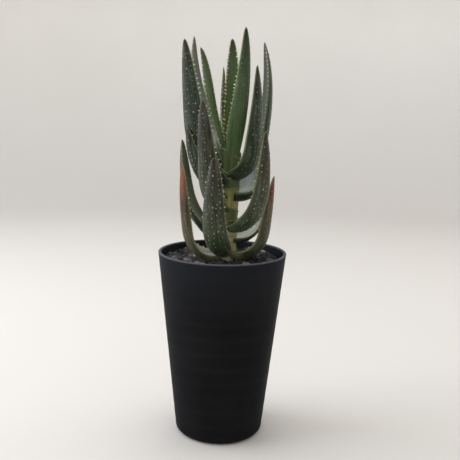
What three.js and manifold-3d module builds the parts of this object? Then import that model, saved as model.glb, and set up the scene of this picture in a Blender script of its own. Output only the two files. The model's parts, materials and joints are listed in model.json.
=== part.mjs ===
// A young kokerboom tree (quiver tree) in a slim round pot.
// Millimetres, +Z up. The origin is the centre of the pot's underside, and the plant is looked at along +Y.
// Pieces: the pot, the potting mix in it, a dressing of gravel, the stem with its root stock, each leaf.
import * as THREE from "three";
import { mergeVertices } from "three/addons/utils/BufferGeometryUtils.js";
import Module from "manifold-3d";

const wasm = await Module();
wasm.setup();

// Pot
const POT_HEIGHT = 131.5;
const MOUTH_RADIUS = 45;
const FOOT_RADIUS = 31;
const WALL = 2.2;
const FLOOR = 3;
const HEEL_ROUND = 4.5;
const LIP_ROUND = 0.7;
const FOOT_RING_WIDTH = 5;
const BOSS_RADIUS = 8;
const RECESS_DEPTH = 1.5;
const DRAIN_HOLES = 6;
const DRAIN_RADIUS = 3;
const POT_SIDES = 40;

// What fills it, from the bottom up
const CLEARANCE = 0.3;
const MIX_TOP = 117;
const BED_TOP = 124.5;
const FILL_SIDES = 24;
const STONE_COUNT = 88;
const STONE_RADIUS = 3.5;
const STONE_RISE = 0.2;

// Stem
const STEM_RADIUS = 6.8;
const STEM_FOOT = [2.5, 0];
const STEM_LEAN = 0.03;
const STEM_TOP = 203;
const CROWN = 8; // height over which the stem's top tapers
const ROOT_DEPTH = 32;
const ROOT_TIP_RADIUS = 1.6;
const SHEATH_PITCH = 11;
const SHEATH_STEP = 0.5;
const STEM_SIDES = 20;
const GROUND = 127;

// Leaves
const LEAF_SIDES = 8;
const LEAF_ROWS = 14;
const LEAF_THICKNESS = 0.32; // of the leaf's width
const FACE_BULGE = 0.12; // of the thickness, on the inner face
const BASE_WRAP = 96; // degrees that each half of the full width curls round the stem
const BLADE_WRAP = 27;
const BASE_WIDTH = 0.78; // of the leaf's width, for most leaves
const BASE_END = 0.3; // share of the length over which the base widens
const START_INSIDE = 0.3; // of the stem's radius
const TWIST_END = 0.5;
const TAPER = 2.8;
const TIP_EXPONENT = 0.6;
const EDGE_RADIUS = 0.35;

// Spines: teeth along both edges, and tubercles on the outer face
const TOOTH = { radius: 0.7, height: 1.1, sink: 0.5 };
const TUBERCLE = { radius: 0.75, height: 0.5, sink: 0.4 };
const SPINE_ROWS = [3.25, 10.75]; // of the leaf's mesh, from its base
const SPINE_PITCH = 1.5; // rows from one pair of teeth to the next
const TUBERCLE_COLUMNS = [1.6, 2.4]; // of the mesh, round the section, used in turn

// The leaves, from the lowest to the youngest.
// up: height of the base over the gravel. heading: 0 right, 90 back, 180 left, 270 front.
// rise: slope at the base and at the tip, in degrees. turn: share of the length in which it straightens.
// nod: how much more the tip leans in. sweep: change of heading from base to tip.
// twist: turn of the blade about its own midline. roll: the same, at the base. taper: how far up it stays wide.
// base: width of the base, as a share of the leaf's width. wrap: how far it curls, in degrees.
const LEAVES = [
  { up: 2, heading: 198, length: 86, width: 12.5, rise: [-8, 81], turn: 0.48, nod: 14, sweep: 6,
    taper: 3.7, roll: -28 },
  { up: 2, heading: 340, length: 77, width: 14.5, rise: [-4, 81], turn: 0.53, nod: 8, sweep: 1 },
  { up: 3, heading: 258, length: 91, width: 16.5, rise: [10, 90], turn: 0.72, nod: 3, sweep: -9,
    twist: 7, base: 0.6 },
  { up: 11, heading: 167, length: 84, width: 15.5, rise: [27, 80], turn: 0.65, nod: 13, sweep: -2,
    twist: -6 },
  { up: 15, heading: 26, length: 73, width: 12, rise: [-6, 93], turn: 0.68, nod: 4, sweep: -5,
    twist: -18, roll: 45, base: 1.2, wrap: 70 },
  { up: 20, heading: 305, length: 92, width: 16, rise: [9, 78], turn: 0.65, nod: 25, sweep: 2,
    taper: 1.6, base: 0.55 },
  { up: 25, heading: 103, length: 84, width: 16, rise: [26, 84], turn: 0.65, sweep: 6 },
  { up: 33, heading: 245, length: 95, width: 15.5, rise: [11, 79], turn: 0.56, nod: 9, sweep: -5,
    taper: 2.4, base: 0.45 },
  { up: 39, heading: 214, length: 64, width: 13, rise: [34, 78], turn: 1, nod: 8, twist: 7,
    base: 0.7 },
  { up: 47, heading: 12, length: 116, width: 15, rise: [-6, 79], turn: 0.22, nod: 33, sweep: 12,
    twist: -8, taper: 3.4, roll: 40, base: 1.3, wrap: 60 },
  { up: 45, heading: 90, length: 84, width: 15, rise: [30, 86], turn: 0.7, sweep: 4 },
  { up: 50, heading: 216, length: 108, width: 19, rise: [35, 81], turn: 0.55, nod: 4,
    twist: 32, taper: 1.4, base: 0.45 },
  { up: 57, heading: 322, length: 85, width: 17, rise: [17, 84], turn: 0.38, nod: 19, sweep: 13,
    twist: -8, taper: 1.4 },
  { up: 57, heading: 171, length: 99, width: 12.5, rise: [60, 71], turn: 0.46, nod: 28, twist: -15 },
  { up: 57, heading: 103, length: 86, width: 7, rise: [40, 94], turn: 0.88, nod: 5, sweep: 2, twist: 45 },
  { up: 62, heading: 136, length: 90, width: 8.5, rise: [58, 83], turn: 0.78, nod: -15, sweep: -6,
    taper: 4 },
  { up: 66, heading: 88, length: 86, width: 12, rise: [80, 81], turn: 0.6, nod: 5, sweep: 16, taper: 2.4 },
  { up: 66, heading: 288, length: 92, width: 12.5, rise: [69, 75], turn: 0.88, nod: 25, sweep: 13,
    twist: -13, taper: 1.7 },
];

// The two lowest leaves are going brown, and the youngest ones are the greenest.
const AGED_LEAVES = 2;
const GREEN_LEAVES = 4;
const LEAF_TINTS = {
  aged: { color: 0x6f6a4c, roughness: 0.55 },
  grey: { color: 0x4d5748, roughness: 0.5 },
  green: { color: 0x4c6040, roughness: 0.48 },
};

const UP = new THREE.Vector3(0, 1, 0);
const rad = THREE.MathUtils.degToRad;
const mix = THREE.MathUtils.lerp;
const ease = THREE.MathUtils.smoothstep;

// The closed solid of a three.js geometry.
function solid(geometry) {
  const bare = new THREE.BufferGeometry();
  bare.setAttribute("position", geometry.getAttribute("position"));
  bare.setIndex(geometry.getIndex());
  const merged = mergeVertices(bare, 1e-4);
  return new wasm.Manifold(
    new wasm.Mesh({
      numProp: 3,
      vertProperties: new Float32Array(merged.attributes.position.array),
      triVerts: new Uint32Array(merged.index.array),
    }),
  );
}

// The largest body of a solid, as a three.js geometry.
function geometryOf(made) {
  const [body] = made.decompose().sort((a, b) => b.volume() - a.volume());
  const { vertProperties, triVerts } = body.getMesh();
  const geometry = new THREE.BufferGeometry();
  geometry.setAttribute("position", new THREE.BufferAttribute(vertProperties, 3));
  geometry.setIndex(new THREE.BufferAttribute(triVerts, 1));
  geometry.computeVertexNormals();
  return geometry;
}

// A profile of [radius, height] points, from the axis round to the axis, turned about Z.
function turned(profile, sides) {
  const points = profile.map(([r, z]) => new THREE.Vector2(r, z));
  return new THREE.LatheGeometry(points, sides).rotateX(Math.PI / 2);
}

// Points of a quarter round from one angle to another, in degrees.
function arc(centreR, centreZ, radius, from, to, steps) {
  return Array.from({ length: steps + 1 }, (_, i) => {
    const a = rad(mix(from, to, i / steps));
    return [centreR + radius * Math.cos(a), centreZ + radius * Math.sin(a)];
  });
}

function seededRandom(seed) {
  let state = seed;
  return () => {
    state = (state * 1664525 + 1013904223) % 4294967296;
    return state / 4294967296;
  };
}

const outerRadius = (z) => mix(FOOT_RADIUS, MOUTH_RADIUS, z / POT_HEIGHT);
const innerRadius = (z) => outerRadius(z) - WALL;

// Pot: tapered wall, rounded heel, foot ring, and a raised floor with drain holes round a flat boss.
function pot() {
  const ringInner = FOOT_RADIUS - HEEL_ROUND - FOOT_RING_WIDTH;
  const heelR = outerRadius(HEEL_ROUND) - HEEL_ROUND;
  const lipR = MOUTH_RADIUS - LIP_ROUND;
  const lipInnerR = MOUTH_RADIUS - WALL + LIP_ROUND;
  const profile = [
    [0, 0],
    [BOSS_RADIUS, 0],
    [BOSS_RADIUS + 0.4, RECESS_DEPTH],
    [ringInner - 0.4, RECESS_DEPTH],
    [ringInner, 0],
    ...arc(heelR, HEEL_ROUND, HEEL_ROUND, -90, 0, 3),
    ...arc(lipR, POT_HEIGHT - LIP_ROUND, LIP_ROUND, 0, 90, 2),
    ...arc(lipInnerR, POT_HEIGHT - LIP_ROUND, LIP_ROUND, 90, 180, 2),
    [innerRadius(FLOOR + HEEL_ROUND), FLOOR + HEEL_ROUND],
    [innerRadius(FLOOR) - HEEL_ROUND / 2, FLOOR],
    [0, FLOOR],
  ];
  const holes = Array.from({ length: DRAIN_HOLES }, (_, i) => {
    const angle = (2 * Math.PI * i) / DRAIN_HOLES;
    const reach = (BOSS_RADIUS + ringInner) / 2;
    const drill = new THREE.CylinderGeometry(DRAIN_RADIUS, DRAIN_RADIUS, 4 * FLOOR, 10);
    drill.rotateX(Math.PI / 2).translate(reach * Math.cos(angle), reach * Math.sin(angle), 0);
    return solid(drill);
  });
  return geometryOf(solid(turned(profile, POT_SIDES)).subtract(wasm.Manifold.union(holes)));
}

const stemCentre = (z) => [STEM_FOOT[0] + STEM_LEAN * (z - GROUND), STEM_FOOT[1]];

// Leans an upright solid of the stem by the slope that the stem has over the gravel.
function lean(geometry) {
  const shear = new THREE.Matrix4().set(
    1, 0, STEM_LEAN, STEM_FOOT[0] - STEM_LEAN * GROUND,
    0, 1, 0, STEM_FOOT[1],
    0, 0, 1, 0,
    0, 0, 0, 1,
  );
  return geometry.applyMatrix4(shear);
}

// Stem: a root stock in the mix, then one leaf sheath over another, each a little wider at its rim.
function stemProfile(swell) {
  const profile = [
    [0, GROUND - ROOT_DEPTH - swell],
    [ROOT_TIP_RADIUS + swell, GROUND - ROOT_DEPTH - swell],
    [STEM_RADIUS * 0.8 + swell, GROUND - ROOT_DEPTH * 0.55],
    [STEM_RADIUS + swell, GROUND - 2],
  ];
  for (let z = GROUND; z + SHEATH_PITCH <= STEM_TOP - CROWN; z += SHEATH_PITCH) {
    profile.push([STEM_RADIUS + swell, z + 0.5]);
    profile.push([STEM_RADIUS + SHEATH_STEP + swell, z + SHEATH_PITCH]);
  }
  profile.push([STEM_RADIUS + swell, STEM_TOP - CROWN + 0.5]);
  profile.push([STEM_RADIUS * 0.35 + swell, STEM_TOP], [0, STEM_TOP + swell]);
  return profile;
}

const stemSolid = (swell) => solid(lean(turned(stemProfile(swell), STEM_SIDES)));

// A plain hole down the middle of the mix and the gravel, for the root stock.
function rootHole() {
  const profile = [
    [0, GROUND - ROOT_DEPTH - 2],
    [STEM_RADIUS + SHEATH_STEP + CLEARANCE, GROUND - ROOT_DEPTH - 2],
    [STEM_RADIUS + SHEATH_STEP + CLEARANCE, POT_HEIGHT + 10],
    [0, POT_HEIGHT + 10],
  ];
  return solid(lean(turned(profile, STEM_SIDES)));
}

function pottingMix() {
  const bottom = FLOOR + CLEARANCE;
  const shoulder = FLOOR + HEEL_ROUND;
  const profile = [
    [0, bottom],
    [innerRadius(FLOOR) - HEEL_ROUND / 2 - CLEARANCE, bottom],
    [innerRadius(shoulder) - CLEARANCE, shoulder],
    [innerRadius(MIX_TOP) - CLEARANCE, MIX_TOP],
    [0, MIX_TOP],
  ];
  return geometryOf(solid(turned(profile, FILL_SIDES)).subtract(rootHole()));
}

// One rough stone: an icosahedron pulled unevenly and turned at random.
function stone(x, y, z, radius, random) {
  const rough = new THREE.IcosahedronGeometry(radius, 0);
  rough.scale(mix(0.8, 1.2, random()), mix(0.8, 1.2, random()), mix(0.6, 0.95, random()));
  rough.rotateX(random() * Math.PI).rotateY(random() * Math.PI).rotateZ(random() * Math.PI);
  return solid(rough.translate(x, y, z));
}

// Gravel: a bed with stones set in it on a spiral, so that they lie evenly, each a little off its place.
function gravel(lowLeaves) {
  const random = seededRandom(11);
  const bed = [
    [0, MIX_TOP + CLEARANCE],
    [innerRadius(MIX_TOP) - CLEARANCE, MIX_TOP + CLEARANCE],
    [innerRadius(BED_TOP) - CLEARANCE, BED_TOP],
    [0, BED_TOP],
  ];
  const reach = innerRadius(BED_TOP) - CLEARANCE - STONE_RADIUS * 1.05;
  const golden = Math.PI * (3 - Math.sqrt(5));
  const stones = [];
  for (let i = 0; i < STONE_COUNT; i++) {
    const r = reach * Math.sqrt((i + 0.5) / STONE_COUNT) - 0.4 * random();
    const angle = i * golden + 0.25 * random();
    const size = STONE_RADIUS * mix(0.75, 1.1, random());
    const z = BED_TOP + STONE_RISE * size;
    stones.push(stone(r * Math.cos(angle), r * Math.sin(angle), z, size, random));
  }
  const whole = wasm.Manifold.union([solid(turned(bed, FILL_SIDES)), ...stones]);
  return geometryOf(whole.subtract(rootHole()).subtract(wasm.Manifold.union(lowLeaves)));
}

// A leaf's midline: from inside the stem out and up, each step sloped a little more than the last.
const MIDLINE_STEPS = 60;
function midline(leaf) {
  const z = GROUND + leaf.up;
  const [x, y] = stemCentre(z);
  const inside = START_INSIDE * STEM_RADIUS;
  const point = new THREE.Vector3(
    x + inside * Math.cos(rad(leaf.heading)),
    y + inside * Math.sin(rad(leaf.heading)),
    z,
  );
  const line = [];
  for (let i = 0; i <= MIDLINE_STEPS; i++) {
    const t = i / MIDLINE_STEPS;
    const nod = (leaf.nod ?? 0) * t * t * t;
    const slope = rad(mix(leaf.rise[0], leaf.rise[1], ease(t, 0, leaf.turn)) + nod);
    const heading = rad(leaf.heading + (leaf.sweep ?? 0) * t);
    const along = new THREE.Vector3(
      Math.cos(slope) * Math.cos(heading),
      Math.cos(slope) * Math.sin(heading),
      Math.sin(slope),
    );
    const across = new THREE.Vector3(-Math.sin(heading), Math.cos(heading), 0);
    across.applyAxisAngle(along, rad(mix(leaf.roll ?? 0, leaf.twist ?? 0, ease(t, 0, TWIST_END))));
    const inward = new THREE.Vector3().crossVectors(along, across);
    line.push({ point: point.clone(), along, across, inward });
    point.addScaledVector(along, leaf.length / MIDLINE_STEPS);
  }
  return line;
}

// Half the leaf's width at a share t of its length: narrower at the base, then a long taper to a point.
function halfWidth(leaf, t) {
  const base = mix(leaf.base ?? BASE_WIDTH, 1, ease(t, 0, BASE_END));
  return (leaf.width / 2) * base * Math.pow(1 - Math.pow(t, leaf.taper ?? TAPER), TIP_EXPONENT);
}

// A point of the leaf's skin. turn goes round the section: 0 and pi are the edges, half pi the outer face.
// The section is a sheet, curled tight round the stem at the base and open on the blade. The midline runs
// through its depth, as far inside the outer face as the curl is deep.
function skinPoint(leaf, line, t, turn, swell) {
  const { point, along, across, inward } = line[Math.round(t * MIDLINE_STEPS)];
  const half = halfWidth(leaf, t);
  const wrap = mix(leaf.wrap ?? BASE_WRAP, BLADE_WRAP, ease(t, 0, BASE_END));
  const bend = rad(wrap) / (leaf.width / 2);
  const u = Math.cos(turn);
  const thick = LEAF_THICKNESS * 2 * half * Math.pow(1 - u * u, 0.6);
  const outward = (Math.sin(turn) < 0 ? -FACE_BULGE : 1) * thick + swell * Math.sin(turn);
  const seat = LEAF_THICKNESS * 2 * half - (1 - Math.cos(half * bend)) / bend;
  const reach = half * u + Math.sign(u) * (EDGE_RADIUS * Math.min(1, half) + swell) * u * u;
  return point
    .clone()
    .addScaledVector(across, Math.sin(reach * bend) * (1 / bend + outward))
    .addScaledVector(inward, seat + 1 / bend - Math.cos(reach * bend) * (1 / bend + outward))
    .addScaledVector(along, t === 1 ? swell : 0);
}

// The blade without its spines: a sphere's grid of vertices, each moved to its place on the skin.
function blade(leaf, line, swell) {
  const geometry = new THREE.SphereGeometry(1, LEAF_SIDES, LEAF_ROWS);
  const position = geometry.getAttribute("position");
  for (let row = 0, k = 0; row <= LEAF_ROWS; row++) {
    const t = Math.max(row - 1, 0) / (LEAF_ROWS - 1);
    const centre = new THREE.Vector3();
    const ring = Array.from({ length: LEAF_SIDES }, (_, i) => {
      const place = skinPoint(leaf, line, t, (2 * Math.PI * i) / LEAF_SIDES, swell);
      centre.addScaledVector(place, 1 / LEAF_SIDES);
      return place;
    });
    const pole = row === 0 || row === LEAF_ROWS;
    for (let i = 0; i <= LEAF_SIDES; i++, k++) {
      const place = pole ? centre : ring[i % LEAF_SIDES];
      position.setXYZ(k, place.x, place.y, place.z);
    }
  }
  return solid(geometry);
}

// A three-sided spine, its root sunk into the leaf.
function spine(root, direction, { radius, height, sink }) {
  const cone = new THREE.ConeGeometry(radius, height + sink, 3);
  cone.translate(0, (height + sink) / 2 - sink, 0);
  cone.applyQuaternion(new THREE.Quaternion().setFromUnitVectors(UP, direction.clone().normalize()));
  return solid(cone.translate(root.x, root.y, root.z));
}

function spines(leaf, line, swell) {
  const made = [];
  const grow = ({ radius, height, sink }) => ({ radius: radius + swell, height: height + swell, sink });
  const place = (row, column, kind, tipward) => {
    const t = row / (LEAF_ROWS - 1);
    const turn = (2 * Math.PI * column) / LEAF_SIDES;
    const step = line[Math.round(t * MIDLINE_STEPS)];
    const root = skinPoint(leaf, line, t, turn, 0);
    const out = skinPoint(leaf, line, t, turn, 1).sub(root).normalize();
    made.push(spine(root, out.addScaledVector(step.along, tipward), grow(kind)));
  };
  const [first, last] = SPINE_ROWS;
  for (let row = first, k = 0; row <= last; row += SPINE_PITCH, k++) {
    place(row, 0, TOOTH, 0.35);
    place(row, LEAF_SIDES / 2, TOOTH, 0.35);
    place(row, TUBERCLE_COLUMNS[k % 2], TUBERCLE, 0);
  }
  return made;
}

function tintOf(index) {
  if (index < AGED_LEAVES) return "aged";
  return index < LEAVES.length - GREEN_LEAVES ? "grey" : "green";
}

// Leaves, from the youngest down: each is cut clear of the stem and of the leaves that it clasps.
function leaves() {
  const stemRoom = stemSolid(CLEARANCE);
  const taken = [];
  const made = [];
  for (let i = LEAVES.length - 1; i >= 0; i--) {
    const leaf = LEAVES[i];
    const line = midline(leaf);
    const whole = wasm.Manifold.union([blade(leaf, line, 0), ...spines(leaf, line, 0)]);
    const cut = whole.subtract(wasm.Manifold.union([stemRoom, ...taken]));
    taken.push(blade(leaf, line, CLEARANCE), ...spines(leaf, line, CLEARANCE));
    const name = `leaf_${String(i + 1).padStart(2, "0")}`;
    made.unshift({ name, tint: tintOf(i), geometry: geometryOf(cut) });
  }
  return { made, taken };
}

const materials = {
  pot: new THREE.MeshStandardMaterial({ color: 0x24262a, roughness: 0.5 }),
  mix: new THREE.MeshStandardMaterial({ color: 0x3a2f27, roughness: 0.95 }),
  gravel: new THREE.MeshStandardMaterial({ color: 0x4a4644, roughness: 0.9 }),
  stem: new THREE.MeshStandardMaterial({ color: 0x6f6c45, roughness: 0.6 }),
};
for (const [tint, finish] of Object.entries(LEAF_TINTS)) {
  materials[tint] = new THREE.MeshStandardMaterial(finish);
}

const plant = new THREE.Group();
function add(name, geometry, material) {
  const mesh = new THREE.Mesh(geometry, material);
  mesh.name = name;
  plant.add(mesh);
}

const foliage = leaves();
add("pot", pot(), materials.pot);
add("potting_mix", pottingMix(), materials.mix);
add("gravel", gravel(foliage.taken), materials.gravel);
add("stem", geometryOf(stemSolid(0)), materials.stem);
for (const leaf of foliage.made) add(leaf.name, leaf.geometry, materials[leaf.tint]);

export default plant;
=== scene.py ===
# %% [markdown]
# # A young kokerboom tree in its pot
# The real object is a seedling tree succulent: one stem wrapped in leaf sheaths, narrow channelled
# leaves with white teeth, and a slim black nursery pot dressed with lava gravel. The plain solids
# of it are already there. They come in as a fixed frame, in metres, and every finer piece below is
# made in the same place. Sizes below are real ones in mm, unless a comment says otherwise.

# %% Load the frame
import json
import math

import bpy
import numpy as np
from mathutils import Matrix, Vector


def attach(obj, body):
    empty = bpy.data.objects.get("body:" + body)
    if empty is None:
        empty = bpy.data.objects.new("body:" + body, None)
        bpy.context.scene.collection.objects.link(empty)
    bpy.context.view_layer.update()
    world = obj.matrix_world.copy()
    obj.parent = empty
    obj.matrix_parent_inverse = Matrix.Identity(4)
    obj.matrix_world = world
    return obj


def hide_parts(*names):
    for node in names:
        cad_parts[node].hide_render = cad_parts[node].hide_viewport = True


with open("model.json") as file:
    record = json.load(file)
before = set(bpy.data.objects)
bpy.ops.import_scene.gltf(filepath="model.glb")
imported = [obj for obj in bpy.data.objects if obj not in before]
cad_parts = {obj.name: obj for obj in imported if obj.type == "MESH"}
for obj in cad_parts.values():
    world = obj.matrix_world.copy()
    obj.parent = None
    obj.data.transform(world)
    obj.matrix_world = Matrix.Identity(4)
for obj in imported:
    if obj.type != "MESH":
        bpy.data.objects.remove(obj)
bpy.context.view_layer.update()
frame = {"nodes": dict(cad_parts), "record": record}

MM = 0.001

# %% [markdown]
# ## Selecting
# Operators act on whatever is selected, and the frame arrives selected. So each step starts by
# selecting only what it works on.


# %% Selecting tool
def select_only(*pieces):
    """Selects these pieces and nothing else. The first one becomes the active one."""
    if bpy.context.mode != "OBJECT":
        bpy.ops.object.mode_set(mode="OBJECT")
    bpy.ops.object.select_all(action="DESELECT")
    for piece in pieces:
        piece.select_set(True)
    if pieces:
        bpy.context.view_layer.objects.active = pieces[0]


print("selected on arrival:", len(bpy.context.selected_objects))

# %% [markdown]
# ## Colours and nodes
# A colour is read off as the sRGB hex value that a paint program shows. Shaders want linear light,
# so one function turns it. Another adds a shader node with its settings and links. A link comes
# from a socket, or from a node, which gives its first output, or it is a plain value.


# %% Colour and node tools
def linear(hex_colour):
    parts = [int(hex_colour[i : i + 2], 16) / 255 for i in (0, 2, 4)]
    light = [c / 12.92 if c <= 0.04045 else ((c + 0.055) / 1.055) ** 2.4 for c in parts]
    return (*light, 1.0)


def set_inputs(node, links):
    for name, value in links.items():
        if isinstance(value, bpy.types.Node):
            value = next(socket for socket in value.outputs if socket.enabled)
        if isinstance(value, bpy.types.NodeSocket):
            node.id_data.links.new(value, node.inputs[name])
        else:
            node.inputs[name].default_value = value


def add_node(tree, kind, links=None, stops=None, **settings):
    """Adds a node with its settings and links. Stops are the bands of a colour ramp."""
    node = tree.nodes.new("ShaderNode" + kind)
    for name, value in settings.items():
        setattr(node, name, value)
    set_inputs(node, links or {})
    if stops:
        band = node.color_ramp.elements
        while len(band) < len(stops):
            band.new(0.5)
        for element, (place, hex_colour) in zip(band, stops):
            element.position = place
            element.color = linear(hex_colour)
    return node


def new_material(name, surface):
    """A material with its tree and its surface shader, whose uniform sockets are set here."""
    material = bpy.data.materials.new(name)
    material.use_nodes = True
    tree = material.node_tree
    shader = tree.nodes["Principled BSDF"]
    set_inputs(shader, surface)
    return material, tree, shader


print("mid grey 808080 in linear light:", round(linear("808080")[0], 3))

# %% [markdown]
# ## Camera
# The camera was fitted to the ellipse of the pot's rim and to its foot. It looks slightly down on
# the pot from under half a metre, and it is turned a little about its own axis, as a camera held in
# the hand is. A Track To constraint could aim it, but not turn it so, and therefore its three
# directions are worked out.

# %% Camera
FRAME_PIXELS = 460
FOCAL_PIXELS = 662.7
SENSOR_MM = 36
CAMERA_PLACE = Vector((0, -458.2, 225.75)) * MM
YAW, PITCH, ROLL = 0.0109, -0.171, 0.02496  # radians

level = math.cos(PITCH)
ahead = Vector((math.sin(YAW) * level, math.cos(YAW) * level, math.sin(PITCH)))
right = ahead.cross(Vector((0, 0, 1))).normalized()
over = right.cross(ahead)
rolled_right = right * math.cos(ROLL) + over * math.sin(ROLL)
rolled_over = over * math.cos(ROLL) - right * math.sin(ROLL)
turn = Matrix((rolled_right, rolled_over, -ahead)).transposed()

select_only()
bpy.ops.object.camera_add(location=CAMERA_PLACE, rotation=turn.to_euler())
camera = bpy.context.object
camera.data.sensor_width = SENSOR_MM
camera.data.lens = FOCAL_PIXELS / FRAME_PIXELS * SENSOR_MM
bpy.context.scene.camera = camera
print("lens in mm:", round(camera.data.lens, 1))

# %% [markdown]
# ## Ring by ring
# Floor, pot, stem and gravel bed are round. A Screw modifier could lathe them, but it makes every
# ring a circle about one axis. Here a circle is extruded from ring to ring instead, so that each
# ring can have its own centre and slant, which the leaning stem needs.


# %% Ring tool
def edit_all():
    """Enters edit mode with the whole mesh selected."""
    bpy.ops.object.mode_set(mode="EDIT")
    bpy.ops.mesh.select_all(action="SELECT")


def named(name):
    """The object that an operator just made, with its place moved into its mesh."""
    piece = bpy.context.object
    piece.name = piece.data.name = name
    bpy.ops.object.transform_apply(location=True, rotation=True, scale=True)
    return piece


def mesh_points(piece):
    points = np.empty(len(piece.data.vertices) * 3)
    piece.data.vertices.foreach_get("co", points)
    return points.reshape(-1, 3)


def place_points(piece, points):
    """Puts a mesh's points at places given in mm."""
    piece.data.vertices.foreach_set("co", (points * MM).ravel())


def ring_stack(name, sides, rings, closed_top=True):
    """Extrudes a circle from ring to ring, and returns the piece and the ring of each point.

    A ring is its radius and height, and then, where it has them, its centre, how far it rises to
    one side, and the heading of that side in degrees.
    """
    select_only()
    bpy.ops.mesh.primitive_circle_add(vertices=sides, radius=1, fill_type="NGON")
    piece = named(name)
    edit_all()
    for _ in rings[1:]:
        bpy.ops.mesh.extrude_region_move(TRANSFORM_OT_translate={"value": (0, 0, 1)})
    if not closed_top:
        bpy.ops.mesh.delete(type="ONLY_FACE")
    bpy.ops.object.mode_set(mode="OBJECT")
    points = mesh_points(piece)
    row = np.rint(points[:, 2]).astype(int)
    around = np.arctan2(points[:, 1], points[:, 0])
    for i, ring in enumerate(rings):
        radius, height, centre, tilt, heading = (*ring, 0, 0, 0)[:5]
        pick = row == i
        points[pick, 0] = centre + radius * np.cos(around[pick])
        points[pick, 1] = radius * np.sin(around[pick])
        points[pick, 2] = height + tilt * np.cos(around[pick] - math.radians(heading))
    place_points(piece, points)
    return piece, row


# %% [markdown]
# ## Studio floor
# A plain pale floor of painted board. It curves up all round into a low wall, so that no edge shows
# from any side. The board is a shade darker on the ground and grows lighter up the wall, where
# faint clouds show in the paint. The darker ground is painted shade against the strong light there,
# and the lighter wall is painted light where the lamps' light falls off.

# %% Floor
COVE_FLAT = 1100
COVE_ROUND = 600
COVE_HEIGHT = 1500
COVE_STEPS = 12
COVE_SIDES = 96
WALL_FADE = 500
PAINT_CLOUD = 380
cove = [(COVE_FLAT, 0)]
for step in range(1, COVE_STEPS + 1):
    angle = step / COVE_STEPS * math.pi / 2
    cove.append((COVE_FLAT + COVE_ROUND * math.sin(angle), COVE_ROUND * (1 - math.cos(angle))))
cove.append((COVE_FLAT + COVE_ROUND, COVE_HEIGHT))
floor, _ = ring_stack("studio_floor", COVE_SIDES, cove, closed_top=False)

material, tree, shader = new_material("pale_painted_board", {"Roughness": 0.9})
where = add_node(tree, "TexCoord").outputs["Object"]
height = add_node(tree, "SeparateXYZ", {"Vector": where}).outputs["Z"]
clouds = add_node(
    tree, "TexNoise", {"Vector": where, "Scale": 1 / (PAINT_CLOUD * MM), "Detail": 3.0}
)
# Painted light: the tone up the wall is lifted where the lamps' light falls off.
tone = add_node(tree, "ValToRGB", {"Fac": clouds}, stops=[(0.3, "f0eeea"), (0.7, "f6f4f0")])
# Painted shade: the ground is mixed darker, against the strong light that falls on it.
painted_ground_shade = add_node(
    tree, "MapRange", {"Value": height, "From Max": WALL_FADE * MM, "To Min": 1.0, "To Max": 0.0}
)
shaded = add_node(
    tree, "Mix", {"Factor": painted_ground_shade, "A": tone, "B": linear("d4d1cd")}, data_type="RGBA"
)
set_inputs(shader, {"Base Color": shaded})
floor.data.materials.append(material)
bpy.ops.object.shade_smooth()
print("floor faces:", len(floor.data.polygons))

# %% [markdown]
# ## Light
# Soft light from large area lamps: one at the left, as a window, a weaker one at the right and one
# overhead. A pale sky fills the shadows. Point lamps would be simpler, but they draw hard shadows
# and sharp highlights.

# %% Light
LAMPS_AIM = Vector((0, 0, 0.15))  # metres
SKY_STRENGTH = 0.66
LAMPS = [
    # name, place and width in metres, watts, colour
    ("window", (-0.95, 0.0, 0.6), 0.9, 10.0, "f4f7ff"),
    ("far_side", (0.95, 0.4, 0.5), 0.8, 2.0, "fff8f0"),
    ("overhead", (-0.1, 0.2, 1.25), 1.0, 7.5, "ffffff"),
]
for name, place, width, watts, tint in LAMPS:
    select_only()
    aim = (LAMPS_AIM - Vector(place)).to_track_quat("-Z", "Y").to_euler()
    bpy.ops.object.light_add(type="AREA", location=place, rotation=aim)
    lamp = bpy.context.object
    lamp.name = name
    lamp.data.size = width
    lamp.data.energy = watts
    lamp.data.color = linear(tint)[:3]

sky = bpy.data.worlds.new("pale_sky")
bpy.context.scene.world = sky
sky.use_nodes = True
backdrop = sky.node_tree.nodes["Background"]
backdrop.inputs["Color"].default_value = linear("e9e8e6")
backdrop.inputs["Strength"].default_value = SKY_STRENGTH
bpy.context.scene.view_settings.view_transform = "Standard"
print("lamps:", len(LAMPS))

# %% [markdown]
# ## The pot
# A slim nursery pot, injection-moulded in black polypropylene: a thin tapered wall with a rounded
# lip and heel, and faint rings round the wall where the mould was turned. The rings are so low that
# they could be a bump pattern, but real ones also catch the light at the pot's outline. So the wall
# is made of many rings, from the underside up, over the lip and down again inside.

# %% Pot
POT_HEIGHT = 131.5
MOUTH_RADIUS = 45
FOOT_RADIUS = 31
WALL = 2.2
POT_FLOOR = 3
HEEL_ROUND = 4.5
LIP_ROUND = 0.7
HEEL_STEPS, LIP_STEPS = 10, 5
FOOT_RING = 5
BOSS_RADIUS = 8
RECESS = 1.5
RECESS_SLOPE = 0.4
MOULD_RING_PITCH = 10.8
MOULD_RING_DEPTH = 0.07
PLAIN_LOW, PLAIN_HIGH = 1.5, 1.2  # bare wall under and over the rings
WALL_ROWS = 97
POT_SIDES = 160


def pot_radius(height):
    return FOOT_RADIUS + (MOUTH_RADIUS - FOOT_RADIUS) * height / POT_HEIGHT


def arc(centre_radius, centre_height, radius, start, stop, steps):
    """Rings along an arc, from one angle in degrees to another."""
    angles = [math.radians(start + (stop - start) * i / steps) for i in range(steps + 1)]
    return [
        (centre_radius + radius * math.cos(a), centre_height + radius * math.sin(a)) for a in angles
    ]


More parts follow.
